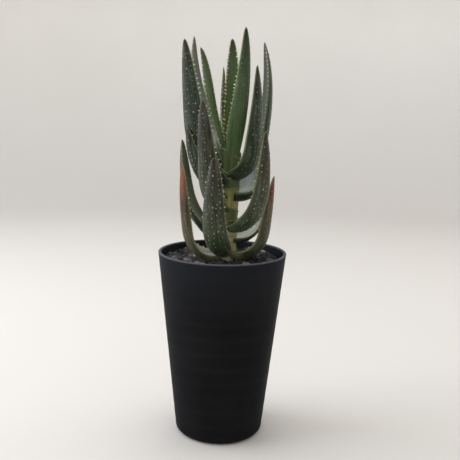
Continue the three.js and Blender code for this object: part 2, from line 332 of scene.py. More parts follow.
ring_inner = FOOT_RADIUS - HEEL_ROUND - FOOT_RING
lip_height = POT_HEIGHT - LIP_ROUND
wall_rings = []
for height in np.linspace(HEEL_ROUND + PLAIN_LOW, lip_height - PLAIN_HIGH, WALL_ROWS):
    swell = 0.5 - 0.5 * math.cos(2 * math.pi * (POT_HEIGHT - height) / MOULD_RING_PITCH)
    wall_rings.append((pot_radius(height) - MOULD_RING_DEPTH * swell, height))
pot_rings = [
    (BOSS_RADIUS, 0),
    (BOSS_RADIUS + RECESS_SLOPE, RECESS),
    (ring_inner - RECESS_SLOPE, RECESS),
    (ring_inner, 0),
    *arc(pot_radius(HEEL_ROUND) - HEEL_ROUND, HEEL_ROUND, HEEL_ROUND, -90, 0, HEEL_STEPS),
    *wall_rings,
    *arc(MOUTH_RADIUS - LIP_ROUND, lip_height, LIP_ROUND, 0, 90, LIP_STEPS),
    *arc(MOUTH_RADIUS - WALL + LIP_ROUND, lip_height, LIP_ROUND, 90, 180, LIP_STEPS),
    (pot_radius(POT_FLOOR + HEEL_ROUND) - WALL, POT_FLOOR + HEEL_ROUND),
    (pot_radius(POT_FLOOR) - WALL - HEEL_ROUND / 2, POT_FLOOR),
]
pot, _ = ring_stack("nursery_pot", POT_SIDES, pot_rings)
print("rings in the pot:", len(pot_rings))

# %% [markdown]
# Six round holes in the underside let the water out. They could be left out of the faces one by
# one, but a Boolean modifier cuts them as a drill would. It needs a closed mesh with its faces
# outwards, so doubled points are merged first.

# %% Drain holes
DOUBLED_WITHIN = 1e-6  # metres
DRAIN_HOLES = 6
DRAIN_RADIUS = 3
DRILL_SIDES = 32
DRILL_LENGTH = 12
POT_CREASE = 35  # degrees


def face_out(piece):
    """Merges doubled points and turns every face outwards."""
    select_only(piece)
    edit_all()
    bpy.ops.mesh.remove_doubles(threshold=DOUBLED_WITHIN)
    bpy.ops.mesh.normals_make_consistent(inside=False)
    bpy.ops.object.mode_set(mode="OBJECT")


face_out(pot)
out = (BOSS_RADIUS + ring_inner) / 2 * MM
for i in range(DRAIN_HOLES):
    spoke = 2 * math.pi * i / DRAIN_HOLES
    select_only()
    bpy.ops.mesh.primitive_cylinder_add(
        vertices=DRILL_SIDES, radius=DRAIN_RADIUS * MM, depth=DRILL_LENGTH * MM,
        location=(out * math.cos(spoke), out * math.sin(spoke), 0),
    )
    drill = bpy.context.object
    select_only(pot)
    cut = pot.modifiers.new("drain_hole", "BOOLEAN")
    cut.object = drill
    cut.solver = "EXACT"
    bpy.ops.object.modifier_apply(modifier=cut.name)
    bpy.data.objects.remove(drill)
bpy.ops.object.shade_smooth_by_angle(angle=math.radians(POT_CREASE))
print("drain holes:", DRAIN_HOLES)

# %% [markdown]
# Black polypropylene: the mould gives it a satin skin with a very fine grain, and broad soft
# highlights run down it. The mould rings are rubbed a little lighter, and fine dust dulls the wall
# towards the rim. The lip is painted grey, as a painted highlight for the light that its rounded
# edge catches. Each of these is a band of height, mixed over the plain black one after the other.
# Every piece ends as the pot does here: with its materials, its body, and the solid that it
# stands for.

# %% Pot finish
GRAIN = 0.6
DUST_CLOUD = 35
DUST_FROM, DUST_TO = 85, 131
# The lip's grey band is a painted highlight, for the light that its rounded edge catches.
LIP_HIGHLIGHT_FROM, LIP_HIGHLIGHT_TO = 130.4, 131.4


def finish_piece(piece, node_name, slot_name, *materials):
    """Gives a piece its finish, its body and the solid that it stands for."""
    for material in materials:
        piece.data.materials.append(material)
    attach(piece, "root")
    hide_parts(node_name)
    piece.data.calc_loop_triangles()
    print(piece.name, len(piece.data.loop_triangles), "triangles")


polypropylene, tree, shader = new_material(
    "black_polypropylene_moulded", {"IOR": 1.3, "Specular IOR Level": 0.05}
)
where = add_node(tree, "TexCoord").outputs["Object"]
height = add_node(tree, "SeparateXYZ", {"Vector": where}).outputs["Z"]
cloud = add_node(tree, "TexNoise", {"Vector": where, "Scale": 1 / (DUST_CLOUD * MM), "Detail": 4.0})
tone = add_node(tree, "ValToRGB", {"Fac": cloud}, stops=[(0.3, "151517"), (0.75, "1d1d1f")])
ring_turn = add_node(
    tree, "Math", {0: height, 1: 2 * math.pi / (MOULD_RING_PITCH * MM)}, operation="MULTIPLY"
)
ring_wave = add_node(tree, "Math", {0: ring_turn}, operation="SINE")
on_ring = add_node(tree, "MapRange", {"Value": ring_wave, "To Max": 0.14})
near_rim = add_node(
    tree, "MapRange",
    {"Value": height, "From Min": DUST_FROM * MM, "From Max": DUST_TO * MM, "To Max": 0.5},
)
# Painted highlight: the lip is mixed towards grey, as if its rounded edge caught the light.
lip_highlight = add_node(
    tree, "MapRange",
    {"Value": height, "From Min": LIP_HIGHLIGHT_FROM * MM, "From Max": LIP_HIGHLIGHT_TO * MM, "To Max": 0.9},
)
colour = tone
for band, hex_colour in ((on_ring, "26282b"), (near_rim, "282b30"), (lip_highlight, "5a5e64")):
    colour = add_node(
        tree, "Mix", {"Factor": band, "A": colour, "B": linear(hex_colour)}, data_type="RGBA"
    )
dulled = add_node(tree, "MapRange", {"Value": cloud, "To Min": 0.42, "To Max": 0.6})
grain = add_node(tree, "TexNoise", {"Vector": where, "Scale": 1 / (GRAIN * MM), "Detail": 2.0})
relief = add_node(tree, "Bump", {"Height": grain, "Strength": 0.12, "Distance": 0.05 * MM})
set_inputs(shader, {"Base Color": colour, "Roughness": dulled, "Normal": relief})
finish_piece(pot, "pot", "pot_plastic", polypropylene)

# %% [markdown]
# ## The potting mix
# Peat, bark and grit. It shows only through the drain holes, so its solid stays as it is and gets a
# rough material of dark fibres and pale specks.

# %% Potting mix finish
CRUMB = 1.5
mix_material, tree, shader = new_material("peat_and_bark_mix", {"Roughness": 0.95})
where = add_node(tree, "TexCoord").outputs["Object"]
crumbs = add_node(tree, "TexNoise", {"Vector": where, "Scale": 1 / (CRUMB * MM), "Detail": 5.0})
tone = add_node(
    tree, "ValToRGB", {"Fac": crumbs}, stops=[(0.35, "1d1713"), (0.55, "3a2f27"), (0.7, "6a5a49")]
)
relief = add_node(tree, "Bump", {"Height": crumbs, "Strength": 0.8, "Distance": 0.6 * MM})
set_inputs(shader, {"Base Color": tone, "Normal": relief})
frame["nodes"]["potting_mix"].data.materials[0] = mix_material
print("potting mix keeps its solid")

# %% [markdown]
# ## The stem
# The stem itself never shows. What shows is one leaf sheath over another: each is a thin tube that
# ends in a slanting rim, with a thin dry edge, and the next younger one comes out of it. So the
# stem is extruded from ring to ring too, and each rim is a little wider and tilted towards the leaf
# that it belongs to. The points of the rims are marked, so that the finish can find them.

# %% Stem
STEM_RADIUS = 6.8
STEM_FOOT_X = 2.5
STEM_LEAN = 0.03
ROOT_DEPTH = 32
GROUND = 127
RIM_STEP = 0.45
RIM_TOP = 0.35
SHEATH_TUCK = 0.1
SHEATH_SHARES = (0.12, 0.35, 0.6, 0.8, 0.92)
# Each ring of the root stock: its radius and its depth under the gravel.
ROOT_RINGS = [(1.6, ROOT_DEPTH), (STEM_RADIUS * 0.8, ROOT_DEPTH * 0.55), (STEM_RADIUS * 0.97, 2)]
# Each ring of a rim: how far out of the stem and how far up it lies, and whether it is dry.
RIM_PROFILE = [
    (RIM_STEP, -0.1, True), (RIM_STEP, 0.15, True), (0.15, RIM_TOP, True), (-0.12, 0.3, False),
]
# Each rim: its height over the gravel, how far it rises towards its leaf, and that leaf's heading.
RIMS = [
    (4.5, 0.8, 341),
    (11, 1.0, 256),
    (16, 0.7, 30),
    (21.7, 2.5, 330),
    (28, 0.8, 103),
    (35, 2.1, 215),
    (49.5, 1.2, 16),
    (56, 1.0, 322),
    (65.5, 6.0, 95),
    (72, 4.5, 200),
]


def stem_x(height):
    return STEM_FOOT_X + STEM_LEAN * (height - GROUND)


stem_rings = [(radius, GROUND - depth, stem_x(GROUND - depth)) for radius, depth in ROOT_RINGS]
dry_rows = set()
last_height, last_tilt, last_heading = GROUND - 1, 0, 0
for up, tilt, heading in RIMS:
    rim_height = GROUND + up
    for share in SHEATH_SHARES:
        height = last_height + (rim_height - last_height) * share
        bulge = STEM_RADIUS - SHEATH_TUCK + (RIM_STEP - SHEATH_TUCK) * share**2
        slant = last_tilt * (1 - share) + tilt * share
        side = heading if share > 0.5 else last_heading
        stem_rings.append((bulge, height, stem_x(height), slant, side))
    for out, lift, dry in RIM_PROFILE:
        if dry:
            dry_rows.add(len(stem_rings))
        stem_rings.append((STEM_RADIUS + out, rim_height + lift, stem_x(rim_height), tilt, heading))
    last_height, last_tilt, last_heading = rim_height + RIM_TOP, tilt, heading
print("rings in the stem, up to its last rim:", len(stem_rings))

# %% Stem top
STEM_TOP = 203
STEM_SIDES = 64
STEM_CREASE = 60  # degrees
CROWN_ROWS = 8
CROWN_FROM = 0.15  # share of the way from the last rim to the top
CROWN_BLUNT = 0.3


def mark_points(piece, label, values):
    """Keeps one number for each point, which a material can read by its label."""
    piece.data.attributes.new(label, "FLOAT", "POINT").data.foreach_set("value", values)


for share in np.linspace(CROWN_FROM, 1, CROWN_ROWS):
    height = last_height + (STEM_TOP - last_height) * share
    radius = (STEM_RADIUS - SHEATH_TUCK) * math.sqrt(max(1 - share**2, 0.0)) + CROWN_BLUNT
    stem_rings.append((radius, height, stem_x(height)))
stem, stem_row = ring_stack("stem_sheaths", STEM_SIDES, stem_rings)
mark_points(stem, "rim", [float(row in dry_rows) for row in stem_row.tolist()])
face_out(stem)
bpy.ops.object.shade_smooth_by_angle(angle=math.radians(STEM_CREASE))
print("rims on the stem:", len(RIMS))

# %% [markdown]
# Living sheath tissue: smooth and waxy, with fine lengthwise veins. It is olive to green. The foot
# and a band halfway up are painted pale cream and yellowish, well over the sheath's own olive: this
# is painted light, so that the stem, which the leaves shade, shows as light as a lit one. The rims
# dry to a thin dull line. The colour is a ramp along the height, broken up by noise that is
# stretched along the stem.

# %% Stem finish
VEIN = 0.9
VEIN_STRETCH = 0.08  # share of the noise's scale that is left along the stem
sheath_skin, tree, shader = new_material(
    "olive_sheath_tissue",
    {"Roughness": 0.45, "IOR": 1.42, "Sheen Weight": 0.15, "Sheen Roughness": 0.5},
)
where = add_node(tree, "TexCoord").outputs["Object"]
height = add_node(tree, "SeparateXYZ", {"Vector": where}).outputs["Z"]
share_up = add_node(
    tree, "MapRange", {"Value": height, "From Min": GROUND * MM, "From Max": STEM_TOP * MM}
)
# The cream and pale yellow stops are painted light, lifted over the sheath's own olive.
tone = add_node(
    tree, "ValToRGB", {"Fac": share_up},
    stops=[
        (0.0, "d6cd9c"), (0.26, "c8c194"), (0.29, "747e50"), (0.46, "7b8250"), (0.48, "c0ba72"),
        (0.63, "b2af68"), (0.66, "5a6c42"), (0.76, "4f6244"), (0.79, "5f6438"), (1.0, "55683c"),
    ],
)
stretched = add_node(tree, "Mapping", {"Vector": where, "Scale": (1, 1, VEIN_STRETCH)})
veins = add_node(tree, "TexNoise", {"Vector": stretched, "Scale": 1 / (VEIN * MM), "Detail": 3.0})
vein_shade = add_node(tree, "ValToRGB", {"Fac": veins}, stops=[(0.3, "c4c4bc"), (0.7, "ffffff")])
veined = add_node(
    tree, "Mix", {"Factor": 1.0, "A": tone, "B": vein_shade},
    data_type="RGBA", blend_type="MULTIPLY",
)
on_rim = add_node(tree, "Attribute", attribute_name="rim").outputs["Fac"]
rimmed = add_node(
    tree, "Mix", {"Factor": on_rim, "A": veined, "B": linear("84845a")}, data_type="RGBA"
)
relief = add_node(tree, "Bump", {"Height": veins, "Strength": 0.25, "Distance": 0.15 * MM})
set_inputs(shader, {"Base Color": rimmed, "Normal": relief})
finish_piece(stem, "stem", "stem", sheath_skin)

# %% [markdown]
# ## How a leaf is laid out
# Each leaf starts inside the stem, leans out and then straightens up. It could be drawn by hand as
# a curve, but eighteen leaves that follow one rule look more like one plant. So each has a few real
# values, which follow here from the lowest leaf to the youngest.

# %% Leaf values
# up: height of the base over the gravel. heading: 0 right, 90 back, 180 left, 270 front.
# rise: slope at the base and at the tip, in degrees. turn: share of the length in which the leaf
# straightens. nod: degrees more at the tip. sweep: degrees that the heading turns.
# roll, twist: degrees that the blade is turned about its midline, at its base and from halfway up.
# base, wrap: width of the base, as a share, and how far it curls. taper: how late it narrows.
# teeth, teeth_pitch: size and distance of the teeth. dots: where tubercles start, and their size.
LEAVES = [
    dict(up=2, heading=198, length=86, width=12.5, rise=(-8, 81), turn=0.48, nod=14, sweep=6,
         taper=3.7, roll=-28, dots=(0.14, 0.5), skin="aged_left"),
    dict(up=2, heading=340, length=77, width=14.5, rise=(-4, 81), turn=0.53, nod=8, sweep=1,
         dots=(0.14, 0.7), skin="aged_right"),
    dict(up=3, heading=258, length=91, width=16.5, rise=(10, 90), turn=0.72, nod=3, sweep=-9,
         twist=7, base=0.6, skin="purplish"),
    dict(up=11, heading=167, length=84, width=15.5, rise=(27, 80), turn=0.65, nod=13, sweep=-2,
         twist=-6, skin="olive"),
    dict(up=15, heading=26, length=73, width=12, rise=(-6, 93), turn=0.68, nod=4, sweep=-5,
         twist=-18, roll=45, base=1.2, wrap=70, skin="dark"),
    dict(up=20, heading=305, length=92, width=16, rise=(9, 78), turn=0.65, nod=25, sweep=2,
         taper=1.6, base=0.55, skin="olive"),
    dict(up=25, heading=103, length=84, width=16, rise=(26, 84), turn=0.65, sweep=6,
         skin="glaucous"),
    dict(up=33, heading=245, length=95, width=15.5, rise=(11, 79), turn=0.56, nod=9, sweep=-5,
         taper=2.4, base=0.45, skin="purplish"),
    dict(up=39, heading=214, length=64, width=13, rise=(34, 78), turn=1, nod=8, twist=7, base=0.7,
         skin="dark"),
    dict(up=47, heading=12, length=116, width=15, rise=(-6, 79), turn=0.22, nod=33, sweep=12,
         twist=-8, taper=3.4, roll=40, base=1.3, wrap=60, teeth=1.25, teeth_pitch=3.4,
         skin="glaucous"),
    dict(up=45, heading=90, length=84, width=15, rise=(30, 86), turn=0.7, sweep=4,
         skin="glaucous"),
    dict(up=50, heading=216, length=108, width=19, rise=(35, 81), turn=0.55, nod=4, twist=32,
         taper=1.4, base=0.45, teeth=1.2, teeth_pitch=3.4, skin="glaucous"),
    dict(up=57, heading=322, length=85, width=17, rise=(17, 84), turn=0.38, nod=19, sweep=13,
         twist=-8, taper=1.4, skin="dark"),
    dict(up=57, heading=171, length=99, width=12.5, rise=(60, 71), turn=0.46, nod=28, twist=-15,
         skin="glaucous"),
    dict(up=57, heading=103, length=86, width=7, rise=(40, 94), turn=0.88, nod=5, sweep=2,
         twist=45, teeth=1.2, skin="dark"),
    dict(up=62, heading=136, length=90, width=8.5, rise=(58, 83), turn=0.78, nod=-15, sweep=-6,
         taper=4, skin="green"),
    dict(up=66, heading=88, length=86, width=12, rise=(80, 81), turn=0.6, nod=5, sweep=16,
         taper=2.4, teeth=1.35, teeth_pitch=2.8, skin="green"),
    dict(up=66, heading=288, length=92, width=12.5, rise=(69, 75), turn=0.88, nod=25, sweep=13,
         twist=-13, taper=1.7, dots=(0.42, 0.6), teeth=1.2, teeth_pitch=2.8, skin="green"),
]
print("leaves:", len(LEAVES), "longest in mm:", max(leaf["length"] for leaf in LEAVES))

# %% [markdown]
# The midline is summed up from short steps along the leaf's direction, the same steps as the plain
# solid has, so the finer leaf runs through the same places. The section is a curled sheet: tight
# round the stem at the base, and a shallow channel on the blade. The same rule also gives the
# places of teeth and tubercles.

# %% Leaf midline
BASE_WIDTH = 0.78
BASE_END = 0.3
START_INSIDE = 0.3
TWIST_END = 0.5
CAD_STEPS = 60


def ease(t, end):
    """Rises softly from 0 to 1 while t goes from 0 to end."""
    x = np.clip(t / end, 0, 1)
    return x * x * (3 - 2 * x)


def directions(leaf, t):
    """Along, across and inward directions at shares t of the length."""
    start, stop = leaf["rise"]
    slope = start + (stop - start) * ease(t, leaf["turn"]) + leaf.get("nod", 0) * t**3
    slope = np.radians(slope)
    heading = np.radians(leaf["heading"] + leaf.get("sweep", 0) * t)
    level = np.cos(slope)
    along = np.stack([level * np.cos(heading), level * np.sin(heading), np.sin(slope)], -1)
    flat = np.stack([-np.sin(heading), np.cos(heading), 0 * t], -1)
    roll, share = leaf.get("roll", 0), ease(t, TWIST_END)
    twist = np.radians(roll + (leaf.get("twist", 0) - roll) * share)[:, None]
    across = flat * np.cos(twist) + np.cross(along, flat) * np.sin(twist)
    return along, across, np.cross(along, across)


def midline(leaf, t):
    """Points of the midline at shares t, on smooth curves between the solid's steps."""
    steps = np.arange(CAD_STEPS) / CAD_STEPS
    along, _, _ = directions(leaf, steps)
    heading = math.radians(leaf["heading"])
    foot = GROUND + leaf["up"]
    inside = START_INSIDE * STEM_RADIUS
    start = np.array([stem_x(foot) + inside * math.cos(heading), inside * math.sin(heading), foot])
    line = np.vstack([start, start + np.cumsum(along * leaf["length"] / CAD_STEPS, 0)])
    knots = np.arange(CAD_STEPS + 1) / CAD_STEPS
    slopes = np.gradient(line, knots, axis=0)
    i = np.clip((t * CAD_STEPS).astype(int), 0, CAD_STEPS - 1)
    x = (t * CAD_STEPS - i)[:, None]
    a, b, step = line[i], line[i + 1], 1 / CAD_STEPS
    return (
        a * (1 + 2 * x) * (1 - x) ** 2 + b * x * x * (3 - 2 * x)
        + slopes[i] * step * x * (1 - x) ** 2 + slopes[i + 1] * step * x * x * (x - 1)
    )


tips = [midline(leaf, np.array([1.0]))[0] for leaf in LEAVES]
print("leaf tips in mm:", round(min(p[2] for p in tips)), "to", round(max(p[2] for p in tips)))

# %% Leaf section
LEAF_THICKNESS = 0.32  # of the leaf's width
FACE_BULGE = 0.12  # of the thickness, on the inner face
BASE_WRAP, BLADE_WRAP = 96, 27  # degrees that each half curls
EDGE_RADIUS = 0.35
FULLNESS = 0.6  # under 1, a blunter tip and blunter edges


def half_width(leaf, t):
    narrow = leaf.get("base", BASE_WIDTH)
    base = narrow + (1 - narrow) * ease(t, BASE_END)
    narrowing = np.clip(1 - np.power(t, leaf.get("taper", 2.8)), 0, 1)
    return leaf["width"] / 2 * base * np.power(narrowing, FULLNESS)


def skin_points(leaf, t, turn, swell=0.0):
    """Points of the leaf's skin at shares t and angles round its section: edges at 0 and pi."""
    along, across, inward = directions(leaf, t)
    half = half_width(leaf, t)
    wrap = leaf.get("wrap", BASE_WRAP)
    bend = np.radians(wrap + (BLADE_WRAP - wrap) * ease(t, BASE_END)) / (leaf["width"] / 2)
    u = np.cos(turn)
    thick = LEAF_THICKNESS * 2 * half * np.power(np.clip(1 - u * u, 0, 1), FULLNESS)
    outward = np.where(np.sin(turn) < -1e-9, -FACE_BULGE, 1.0) * thick + swell * np.sin(turn)
    seat = LEAF_THICKNESS * 2 * half - (1 - np.cos(half * bend)) / bend
    reach = half * u + np.sign(u) * (EDGE_RADIUS * np.minimum(1, half) + swell) * u * u
    sideways = np.sin(reach * bend) * (1 / bend + outward)
    deep = seat + 1 / bend - np.cos(reach * bend) * (1 / bend + outward)
    return midline(leaf, t) + across * sideways[:, None] + inward * deep[:, None], half, u


middles = [2 * half_width(leaf, np.array([0.5]))[0] for leaf in LEAVES]
print("leaf widths halfway, in mm:", round(min(middles), 1), "to", round(max(middles), 1))

# %% [markdown]
# ## A tooth and a tubercle
# Teeth stand along both edges and point a little towards the tip. They are hard, flat and pale.
# Tubercles are low wax-white pimples in rows on the outer face. There are over a thousand of them,
# so each is modelled once, with few faces, and copied. The tooth starts as a cone that is flattened
# and pushed over, and the tubercle as a small ball with its underside cut off.

# %% Tooth and tubercle
TOOTH_LENGTH = 0.95
TOOTH_ROOT = 0.6
TOOTH_SIDES = 7
TOOTH_RADII = (0.46, 0.06)
TOOTH_FLAT = (0.75, 1.25, 1)
TOOTH_LEAN = 0.35
TUBERCLE_RADIUS = 0.45
TUBERCLE_FLAT = (0.95, 1.25, 0.75)
TUBERCLE_ROOT = 0.2


def as_arrays(pattern, unit=MM):
    points = np.array([v.co for v in pattern.data.vertices]) / unit
    return points, [tuple(face.vertices) for face in pattern.data.polygons]


select_only()
bpy.ops.mesh.primitive_cone_add(
    vertices=TOOTH_SIDES, radius1=TOOTH_RADII[0] * MM, radius2=TOOTH_RADII[1] * MM,
    depth=(TOOTH_LENGTH + TOOTH_ROOT) * MM, location=(0, 0, (TOOTH_LENGTH - TOOTH_ROOT) / 2 * MM),
)
tooth = named("tooth_pattern")
edit_all()
bpy.ops.transform.resize(value=TOOTH_FLAT)
bpy.ops.object.mode_set(mode="OBJECT")
for point in tooth.data.vertices:
    if point.co.z > 0:
        point.co.y += TOOTH_LEAN * MM

select_only()
bpy.ops.mesh.primitive_ico_sphere_add(subdivisions=2, radius=TUBERCLE_RADIUS * MM)
tubercle = named("tubercle_pattern")
edit_all()
bpy.ops.transform.resize(value=TUBERCLE_FLAT)
bpy.ops.mesh.bisect(
    plane_co=(0, 0, -TUBERCLE_ROOT * MM), plane_no=(0, 0, 1), clear_inner=True, use_fill=True
)
bpy.ops.object.mode_set(mode="OBJECT")

TOOTH_SHAPE, TUBERCLE_SHAPE = as_arrays(tooth), as_arrays(tubercle)
bpy.data.objects.remove(tooth)
bpy.data.objects.remove(tubercle)
print("faces of a tooth and a tubercle:", len(TOOTH_SHAPE[1]), len(TUBERCLE_SHAPE[1]))

# %% [markdown]
# Tooth horn is hard and cream-white. A tubercle is a blister of pale tissue under wax, a little
# greener. Both are matt. A noise of a few millimetres shades them, so that neighbours differ and no
# two rows are alike.

# %% Horn and wax
SHADE_DRIFT = 3


def speck_material(name, low, high, roughness):
    material, tree, shader = new_material(
        name, {"Roughness": roughness, "IOR": 1.45, "Specular IOR Level": 0.3}
    )
    where = add_node(tree, "TexCoord").outputs["Object"]
    drift = add_node(
        tree, "TexNoise", {"Vector": where, "Scale": 1 / (SHADE_DRIFT * MM), "Detail": 2.0}
    )
    tone = add_node(tree, "ValToRGB", {"Fac": drift}, stops=[(0.35, low), (0.65, high)])
    set_inputs(shader, {"Base Color": tone})
    return material


horn = speck_material("cream_tooth_horn", "cdc78f", "fffadc", 0.5)
wax = speck_material("wax_white_tubercle", "586055", "959d8b", 0.6)
print("finishes:", horn.name, wax.name)

# %% [markdown]
# ## Leaf skins
# The epidermis of a tree aloe is green tissue under a grey wax. Old leaves dry from the tip,
# through olive and brown to orange. The inner face is smoother, and pale near the base, where light
# hardly reaches it. On four skins that base is painted lighter still, near white or yellow-green:
# this is painted light, for the light that falls on it and glows through the thin tissue. Each skin
# has one ramp of colours along the outer face and one along the inner face, by shares of the leaf's
# length, and the colour of the thin line at its very edge. Most end in a dark dry tip.

# %% Leaf colours
SKINS = {
    "aged_left": dict(
        outer=[
            (0, "c0bc92"), (0.13, "a6a37a"), (0.2, "7d7e63"), (0.3, "747255"), (0.5, "584f37"),
            (0.66, "523e2b"), (0.78, "7c4628"), (0.95, "8f4c28"), (1, "5a3a26"),
        ],
        # Painted light: the near-white foot of the inner face is lifted over its own pale tone.
        inner=[
            (0, "fbfcf0"), (0.28, "e6e9d6"), (0.42, "6b6b50"), (0.72, "5d4a36"), (0.85, "85492b"),
            (1, "5a3a26"),
        ],
        edge="8a8a6c",
    ),
    "aged_right": dict(
        outer=[
            (0, "c0bc92"), (0.12, "9d9b70"), (0.2, "565f3c"), (0.4, "525839"), (0.68, "5b4f35"),
            (0.86, "774025"), (0.95, "8c4a28"), (1, "5a3a26"),
        ],
        inner=[
            (0, "77805f"), (0.4, "5f6649"), (0.72, "5d4a36"), (0.88, "85492b"), (1, "5a3a26"),
        ],
        edge="8a8a6c",
    ),
    "purplish": dict(
        outer=[
            (0, "8d8c62"), (0.06, "6a7046"), (0.1, "46562f"), (0.28, "41502d"), (0.55, "3e442d"),
            (0.8, "393627"), (0.94, "3a3026"), (1, "241a14"),
        ],
        inner=[(0, "55613f"), (0.5, "44503a"), (0.9, "444a38"), (1, "2c211a")],
        edge="6b7050",
    ),
    "dark": dict(
        outer=[(0, "394a2b"), (0.4, "313f29"), (0.8, "303a2a"), (0.95, "372f24"), (1, "241a14")],
        # Painted light: the near-white foot of the inner face is lifted over its own pale tone.
        inner=[(0, "fbfdf2"), (0.3, "f0f5e4"), (0.46, "4c5e3a"), (0.8, "36452b"), (1, "241a14")],
        edge="747a52",
    ),
    "olive": dict(
        outer=[(0, "3f4f30"), (0.35, "454f34"), (0.7, "4b4833"), (0.94, "3f3428"), (1, "241a14")],
        inner=[(0, "66704c"), (0.4, "5a6446"), (0.9, "4a5039"), (1, "2c211a")],
        edge="6f7450",
    ),
    "glaucous": dict(
        outer=[(0, "3a4832"), (0.4, "384634"), (0.8, "3a4636"), (0.95, "3a3428"), (1, "241a14")],
        # Painted light: the near-white foot of the inner face is lifted over its own pale tone.
        inner=[
            (0, "edf2ec"), (0.2, "d6e0da"), (0.36, "6b786c"), (0.8, "46534a"), (0.95, "3f4034"),
            (1, "241a14"),
        ],
        edge="727a5e",
    ),
    "green": dict(
        outer=[(0, "5a783d"), (0.4, "4c6239"), (0.8, "39482f"), (0.95, "38361f"), (1, "241a14")],
        # Painted light: the yellow-green foot of the inner face stands for light glowing through
        # it.
        inner=[(0, "6d8244"), (0.4, "5a7240"), (0.8, "4f643e"), (0.95, "3f402c"), (1, "241a14")],
        edge="7f8656",
        streak=0.5,
    ),
}
print("leaf skins:", ", ".join(SKINS))

# %% [markdown]
# The finish is made once and filled with each skin's colours. Fine streaks run along the blade,
# weaker on the inner face and on the youngest leaves. Over them lies the wax bloom, in long pale
# patches that are also duller. Last comes the thin line at the edge. Streaks and bloom follow the
# leaf, because they read its own map.

# %% Leaf finish
LEAF_MAP = 10  # one unit of the leaf's map, so its sizes can be given in mm
STREAK_WIDE, STREAK_LONG = 0.8, 16
BLOOM_WIDE, BLOOM_LONG = 2.2, 15
EDGE_LINE_FROM, EDGE_LINE_TO = 0.15, 0.55


def leaf_skin(name, outer, inner, edge, streak=1.0):
    material, tree, shader = new_material(
        name + "_leaf_epidermis",
        {
            "IOR": 1.45, "Specular IOR Level": 0.3, "Sheen Weight": 0.08, "Sheen Roughness": 0.45,
            "Sheen Tint": linear("c8d4cc"),
        },
    )
    share, is_inner, edge_mm = [
        add_node(tree, "Attribute", attribute_name=label).outputs["Fac"]
        for label in ("share", "inner", "edge_mm")
    ]
    leaf_map = add_node(tree, "TexCoord").outputs["UV"]
    outside = add_node(tree, "ValToRGB", {"Fac": share}, stops=outer)
    inside = add_node(tree, "ValToRGB", {"Fac": share}, stops=inner)
    face = add_node(tree, "Mix", {"Factor": is_inner, "A": outside, "B": inside}, data_type="RGBA")
    patterns = []
    for wide, long, detail in ((STREAK_WIDE, STREAK_LONG, 3.0), (BLOOM_WIDE, BLOOM_LONG, 4.0)):
        stretched = add_node(
            tree, "Mapping", {"Vector": leaf_map, "Scale": (LEAF_MAP / wide, LEAF_MAP / long, 1)}
        )
        patterns.append(
            add_node(tree, "TexNoise", {"Vector": stretched, "Scale": 1.0, "Detail": detail})
        )
    streaks, bloom = patterns
    streak_shade = add_node(
        tree, "ValToRGB", {"Fac": streaks}, stops=[(0.32, "989898"), (0.66, "ffffff")]
    )
    streak_depth = add_node(tree, "MapRange", {"Value": is_inner, "To Min": streak, "To Max": 0.4})
    colour = add_node(
        tree, "Mix", {"Factor": streak_depth, "A": face, "B": streak_shade},
        data_type="RGBA", blend_type="MULTIPLY",
    )
    in_bloom = add_node(
        tree, "MapRange", {"Value": bloom, "From Min": 0.48, "From Max": 0.7, "To Max": 0.45}
    )
    at_edge = add_node(
        tree, "MapRange",
        {
            "Value": edge_mm, "From Min": EDGE_LINE_FROM, "From Max": EDGE_LINE_TO,
            "To Min": 0.75, "To Max": 0.0,
        },
    )
    for band, hex_colour in ((in_bloom, "5d6862"), (at_edge, edge)):
        colour = add_node(
            tree, "Mix", {"Factor": band, "A": colour, "B": linear(hex_colour)}, data_type="RGBA"
        )
    gloss = add_node(tree, "MapRange", {"Value": bloom, "To Min": 0.36, "To Max": 0.56})
    relief = add_node(tree, "Bump", {"Height": streaks, "Strength": 0.3, "Distance": 0.12 * MM})
    set_inputs(shader, {"Base Color": colour, "Roughness": gloss, "Normal": relief})
    return material


skins = {name: leaf_skin(name, **colours) for name, colours in SKINS.items()}
print("nodes in a leaf's finish:", len(skins["green"].node_tree.nodes))

# %% [markdown]
# ## The leaves
# A leaf could be drawn as a curve with a bevel, but its section changes from clasping to open. So
# it starts as a UV sphere: the rings become sections along the blade, and the poles its base and
# its tip. Each point is moved to its place by the rule above. Share, face and distance from the
# edge are kept as numbers on the points, and the leaf's map is measured in centimetres along and
# across, so the finish follows the leaf.

# %% Blade
LEAF_SIDES = 28
LEAF_ROWS = 76
TIP_SHARE = 0.9998  # the tip ends just inside the solid's
ROWS_TO_TIP = 0.12  # how much closer the rows lie towards the tip
INNER_FROM = -0.05  # sine of the angle round the section, where the inner face starts
INNER_MAP_SHIFT = 3  # keeps the inner face's map beside the outer one's


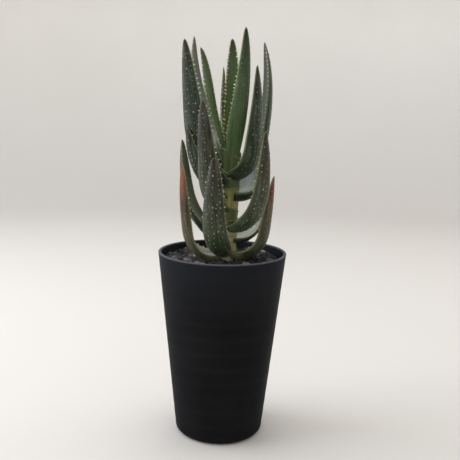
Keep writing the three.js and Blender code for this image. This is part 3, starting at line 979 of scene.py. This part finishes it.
def blade(leaf, name):
    select_only()
    bpy.ops.mesh.primitive_uv_sphere_add(
        segments=LEAF_SIDES, ring_count=LEAF_ROWS, radius=1, calc_uvs=False
    )
    piece = named(name)
    points = mesh_points(piece)
    row = LEAF_ROWS - np.rint(np.arccos(np.clip(points[:, 2], -1, 1)) / math.pi * LEAF_ROWS)
    turn = np.arctan2(points[:, 1], points[:, 0])
    share = np.clip((row - 1) / (LEAF_ROWS - 1), 0, 1)
    share = share + ROWS_TO_TIP * share * (1 - share) * share
    share = np.minimum(share, TIP_SHARE)
    placed, half, u = skin_points(leaf, share, turn)
    placed[row == 0] = placed[row == 1].mean(0)
    place_points(piece, placed)
    mark_points(piece, "share", share)
    mark_points(piece, "inner", (np.sin(turn) < INNER_FROM).astype(float))
    mark_points(piece, "edge_mm", half * (1 - np.abs(u)))
    chart = piece.data.uv_layers.new(name="leaf_cm")
    corner = np.empty(len(piece.data.loops), dtype=np.int32)
    piece.data.loops.foreach_get("vertex_index", corner)
    aside = INNER_MAP_SHIFT * (np.sin(turn) < 0)
    flat = np.stack([half * u / LEAF_MAP + aside, share * leaf["length"] / LEAF_MAP], -1)
    chart.data.foreach_set("uv", flat[corner].ravel())
    face_out(piece)
    bpy.ops.object.shade_smooth()
    return piece


print("faces on a bare blade:", LEAF_SIDES * LEAF_ROWS)

# %% [markdown]
# Teeth and tubercles could be set on the blade with a particle system, but the real ones stand in
# rows. So their places are worked out row by row, with uneven gaps from a seed. Towards the tip the
# teeth stand closer and every second row of tubercles ends.

# %% Rows of teeth and tubercles
TEETH_PITCH = 4.3
TEETH_FROM, TEETH_TO = 0.16, 0.965  # shares of the leaf's length
TUBERCLE_PITCH = 3.9
TUBERCLES_TO = 0.93
ALL_TUBERCLES = (0.14, 1.0)  # share at which they start, and their size
CROWDED_FROM = 0.68
LANE_WIDTH = 3.2
FEWEST_LANES, MOST_LANES = 3, 5
OUTER_LANE = 0.62  # share of the half width
# What chance adds to the start of a row of teeth and of tubercles, and how wide a lane it gives.
TEETH_SPREAD, TUBERCLES_SPREAD, LANE_SPREAD = 0.03, 0.05, 0.12
# The least gap, and what chance adds to it, as shares of the pitch.
TEETH_GAP, TUBERCLES_GAP = (0.8, 0.4), (0.6, 0.8)
TEETH_WIDER, TEETH_CLOSER = 1.15, 0.4  # gap at the base, and how much of it is gone at the tip
leaves_random = np.random.default_rng(7)


def spots(leaf):
    """Places of teeth and tubercles: shares of the length and angles round the section."""
    pitch = leaf.get("teeth_pitch", TEETH_PITCH) / leaf["length"]
    teeth, tubercles = [], []
    for edge in (0.0, math.pi):
        t = TEETH_FROM + TEETH_SPREAD * leaves_random.random()
        while t < TEETH_TO:
            teeth.append((t, edge))
            gap = TEETH_GAP[0] + TEETH_GAP[1] * leaves_random.random()
            t += pitch * gap * (TEETH_WIDER - TEETH_CLOSER * t)
    lanes = int(np.clip(leaf["width"] / LANE_WIDTH, FEWEST_LANES, MOST_LANES))
    first_tubercle, _ = leaf.get("dots", ALL_TUBERCLES)
    for k in range(lanes):
        lane = -OUTER_LANE + 2 * OUTER_LANE * k / (lanes - 1)
        t = first_tubercle + TUBERCLES_SPREAD * leaves_random.random()
        while t < TUBERCLES_TO:
            u = lane + LANE_SPREAD * (leaves_random.random() - 0.5)
            if t < CROWDED_FROM or k % 2 == 0:
                tubercles.append((t, math.acos(u)))
            gap = TUBERCLES_GAP[0] + TUBERCLES_GAP[1] * leaves_random.random()
            t += TUBERCLE_PITCH / leaf["length"] * gap
    return np.array(teeth), np.array(tubercles)


# %% [markdown]
# A copy is turned to its place by three directions: across and along the leaf, and out of its skin.
# The copies get a mesh of their own, with horn or wax as their material, and are then joined to the
# blade, because on the real leaf they are one piece with it.

# %% Copies on the skin
TOOTH_SIZES = (0.4, 1.15)
TUBERCLE_SIZES = (0.45, 1.2)
FULL_SIZE_FROM = 3  # half width of a leaf that carries them at full size
LEAST_SIZE = 0.45


def loose_piece(name, points, faces):
    """A new object from points in mm and faces."""
    mesh = bpy.data.meshes.new(name)
    mesh.from_pydata((points * MM).tolist(), [], faces)
    piece = bpy.data.objects.new(name, mesh)
    bpy.context.scene.collection.objects.link(piece)
    return piece


def skin_places(leaf, t, turn):
    """Root, across, along and out for each spot."""
    root, _, _ = skin_points(leaf, t, turn)
    outer, _, _ = skin_points(leaf, t, turn, 1.0)
    out = outer - root
    out /= np.linalg.norm(out, axis=1)[:, None]
    along, _, _ = directions(leaf, t)
    along = along - out * (along * out).sum(1)[:, None]
    along /= np.linalg.norm(along, axis=1)[:, None]
    return list(zip(root, np.cross(along, out), along, out))


def scatter(shape, places, sizes):
    """Copies of a pattern on places, each with its own points."""
    pattern, faces = shape
    points, loops = [], []
    for (root, across, along, out), size in zip(places, sizes):
        first = len(points) * len(pattern)
        x, y, z = pattern[:, :1], pattern[:, 1:2], pattern[:, 2:]
        points.append(root + size * (x * across + y * along + z * out))
        loops += [tuple(first + i for i in face) for face in faces]
    return np.vstack(points), loops


def cover(piece, leaf):
    """Sets teeth and tubercles on a blade, as part of the same piece."""
    teeth, tubercles = spots(leaf)
    tubercle_size = leaf.get("dots", ALL_TUBERCLES)[1]
    grown = []
    for label, spot, shape, slot_index, (low, high), scale in (
        ("_teeth", teeth, TOOTH_SHAPE, 1, TOOTH_SIZES, leaf.get("teeth", 1.0)),
        ("_tubercles", tubercles, TUBERCLE_SHAPE, 2, TUBERCLE_SIZES, tubercle_size),
    ):
        t, turn = spot[:, 0], spot[:, 1]
        sizes = low + (high - low) * leaves_random.random(len(spot))
        sizes *= np.clip(half_width(leaf, t) / FULL_SIZE_FROM, LEAST_SIZE, 1)
        sizes *= scale
        points, faces = scatter(shape, skin_places(leaf, t, turn), sizes)
        item = loose_piece(piece.name + label, points, faces)
        for material in piece.data.materials:
            item.data.materials.append(material)
        item.data.polygons.foreach_set("material_index", [slot_index] * len(faces))
        item.data.polygons.foreach_set("use_smooth", [True] * len(faces))
        grown.append(item)
    select_only(piece, *grown)
    bpy.ops.object.join()
    return len(teeth), len(tubercles)


# %% [markdown]
# Now the eighteen leaves can be grown, from the lowest to the youngest. Each one stands for the
# plain solid with its number. The name of its material slot is read from the record, but nothing
# uses it.

# %% Grow the leaves
counts = []
for number, leaf in enumerate(LEAVES, start=1):
    node_name = f"leaf_{number:02d}"
    piece = blade(leaf, node_name + "_blade")
    for material in (skins[leaf["skin"]], horn, wax):
        piece.data.materials.append(material)
    counts.append(cover(piece, leaf))
    parts = frame["record"]["subparts"]
    slot_name = next(s["material_slot"] for s in parts if s["node"] == node_name)
    finish_piece(piece, node_name, slot_name)
print("teeth and tubercles:", *np.sum(counts, 0))

# %% [markdown]
# ## The gravel
# Crushed lava, sieved to 4 to 7 mm. Real chips have few flat faces and blunt corners. A few are
# modelled from an icosphere with its points pushed about at random, and all stones in the pot are
# copies of them.

# %% Stones
STONE_PATTERNS = 8
STONE_ROUGHNESS = dict(offset=0.26, uniform=0.6, normal=0.4)
stone_shapes = []
for seed in range(STONE_PATTERNS):
    select_only()
    bpy.ops.mesh.primitive_ico_sphere_add(subdivisions=2, radius=1)
    stone = bpy.context.object
    edit_all()
    bpy.ops.transform.vertex_random(seed=seed, **STONE_ROUGHNESS)
    bpy.ops.object.mode_set(mode="OBJECT")
    stone_shapes.append(as_arrays(stone, unit=1))
    bpy.data.objects.remove(stone)
print("stone patterns:", len(stone_shapes), "with", len(stone_shapes[0][1]), "faces each")

# %% [markdown]
# Under the loose stones lies a plain low bed, dark and closed, so that no gap shows the inside of
# the pot. It carries the same mark as the stones, with the number of a dark one.

# %% Gravel bed
MIX_TOP = 117
BED_TOP = 124.5
BED_GAP = 0.3  # clear of the wall and the mix
BED_SIDES = 96
BED_SHADE = 0.1
BED_LIP = 1.0
BED_ROUND = 2.5
BED_DIP = 0.2  # how far the middle lies under the top
BED_MIDDLE = (20, 8)  # radii of its rings
bed_reach = pot_radius(BED_TOP) - WALL
bed_rings = [
    (pot_radius(MIX_TOP) - WALL - BED_GAP, MIX_TOP + BED_GAP),
    (bed_reach - BED_GAP, BED_TOP - BED_LIP),
    (bed_reach - BED_ROUND, BED_TOP),
    *((radius, BED_TOP - BED_DIP) for radius in BED_MIDDLE),
]
gravel, _ = ring_stack("lava_gravel_bed", BED_SIDES, bed_rings)
face_out(gravel)
mark_points(gravel, "stone_shade", [BED_SHADE] * len(gravel.data.vertices))
print("bed reaches in mm:", round(bed_reach, 1))

# %% [markdown]
# A rigid-body simulation could drop the stones, but it takes long and may settle in another way
# each time. Here they lie in two layers, on a spiral that spreads them evenly, and each is turned,
# squashed, sized and shaded at random from a seed. A stone that would lie inside the stem or a low
# leaf is left out.

# %% Lay the stones
# Each layer: how many places, their height over the bed, the smallest and the largest radius.
STONE_LAYERS = [(230, -0.6, 2.1, 3.1), (180, 0.75, 2.3, 3.9)]
SPIRAL = 3 - math.sqrt(5)  # golden angle, in half turns
SPIRAL_SPREAD = 0.5  # radians that chance adds
FULL_TURN = 6.3  # radians
FEW_LARGE = 1.3  # a power over 1 makes small stones likelier
# The least width and thickness of a stone, and what chance adds, as shares of its length.
STONE_WIDTH, STONE_THICKNESS = (0.72, 0.4), (0.6, 0.3)
WALL_GAP = 0.5
WALL_ROOM, STEM_ROOM, LEAF_ROOM = 1.05, 0.75, 0.85  # room that a stone needs, in its radius
LOW_LEAVES = LEAVES[:6]
LOW_LEAF_DEPTH = 0.42  # of its half width
low_shares = np.linspace(0, 0.5, 26)
low_lines = [midline(leaf, low_shares) for leaf in LOW_LEAVES]
low_halves = [LOW_LEAF_DEPTH * half_width(leaf, low_shares) for leaf in LOW_LEAVES]
stones_random = np.random.default_rng(3)
points, faces, shades = [], [], []
for layer, (total, level, smallest, largest) in enumerate(STONE_LAYERS):
    for i in range(total):
        size = smallest + (largest - smallest) * stones_random.random() ** FEW_LARGE
        distance = (bed_reach - WALL_GAP - size * WALL_ROOM) * math.sqrt((i + 0.5) / total)
        angle = i * math.pi * SPIRAL + SPIRAL_SPREAD * stones_random.random()
        centre = np.array(
            [distance * math.cos(angle), distance * math.sin(angle), BED_TOP + level]
        )
        tip_over = Matrix.Rotation(stones_random.random() * FULL_TURN, 3, "X")
        spin = Matrix.Rotation(stones_random.random() * FULL_TURN, 3, "Z")
        turned = np.array(tip_over @ spin)
        wide = STONE_WIDTH[0] + STONE_WIDTH[1] * stones_random.random()
        thick = STONE_THICKNESS[0] + STONE_THICKNESS[1] * stones_random.random()
        shape, loops = stone_shapes[(i * 5 + layer) % STONE_PATTERNS]
        shade = stones_random.random()
        off_stem = math.hypot(centre[0] - STEM_FOOT_X, centre[1]) - STEM_RADIUS
        off_leaves = min(
            (np.linalg.norm(line - centre, axis=1) - half).min()
            for line, half in zip(low_lines, low_halves)
        )
        if off_stem - size * STEM_ROOM < 0 or off_leaves < size * LEAF_ROOM:
            continue
        first = len(points) * len(shape)
        points.append(centre + (shape * (1.0, wide, thick) * size) @ turned.T)
        faces += [tuple(first + j for j in face) for face in loops]
        shades += [shade] * len(shape)
print("stones laid:", len(points))

# %% Join the gravel
STONE_CREASE = 28  # degrees
stones = loose_piece("stones", np.vstack(points), faces)
mark_points(stones, "stone_shade", shades)
select_only(gravel, stones)
bpy.ops.object.join()
bpy.ops.object.shade_smooth_by_angle(angle=math.radians(STONE_CREASE))
print("gravel faces:", len(gravel.data.polygons))

# %% [markdown]
# Lava stone: basalt full of gas bubbles. It is matt and dark, from blue-black to brown, and a few
# stones are pale. Each stone has a shade of its own, and pits under a millimetre across catch the
# light at their rims. The pits are painted darker towards their middle, as painted shade in the
# hollows.

# %% Gravel finish
PIT = 0.7
lava, tree, shader = new_material("crushed_lava_basalt", {"Roughness": 0.85, "IOR": 1.5})
where = add_node(tree, "TexCoord").outputs["Object"]
shade = add_node(tree, "Attribute", attribute_name="stone_shade").outputs["Fac"]
tone = add_node(
    tree, "ValToRGB", {"Fac": shade},
    stops=[
        (0.0, "141519"), (0.4, "25262a"), (0.7, "353535"), (0.86, "4b4946"), (0.95, "716d68"),
        (1.0, "98938c"),
    ],
)
pits = add_node(tree, "TexVoronoi", {"Vector": where, "Scale": 1 / (PIT * MM)})
# Painted shade: each pit's colour is darker towards its middle, where its hollow lies.
pit_shade = add_node(tree, "ValToRGB", {"Fac": pits}, stops=[(0.1, "7a7a7a"), (0.5, "ffffff")])
pitted = add_node(
    tree, "Mix", {"Factor": 1.0, "A": tone, "B": pit_shade}, data_type="RGBA", blend_type="MULTIPLY"
)
relief = add_node(tree, "Bump", {"Height": pits, "Strength": 0.7, "Distance": 0.3 * MM})
set_inputs(shader, {"Base Color": pitted, "Normal": relief})
finish_piece(gravel, "gravel", "lava_gravel", lava)
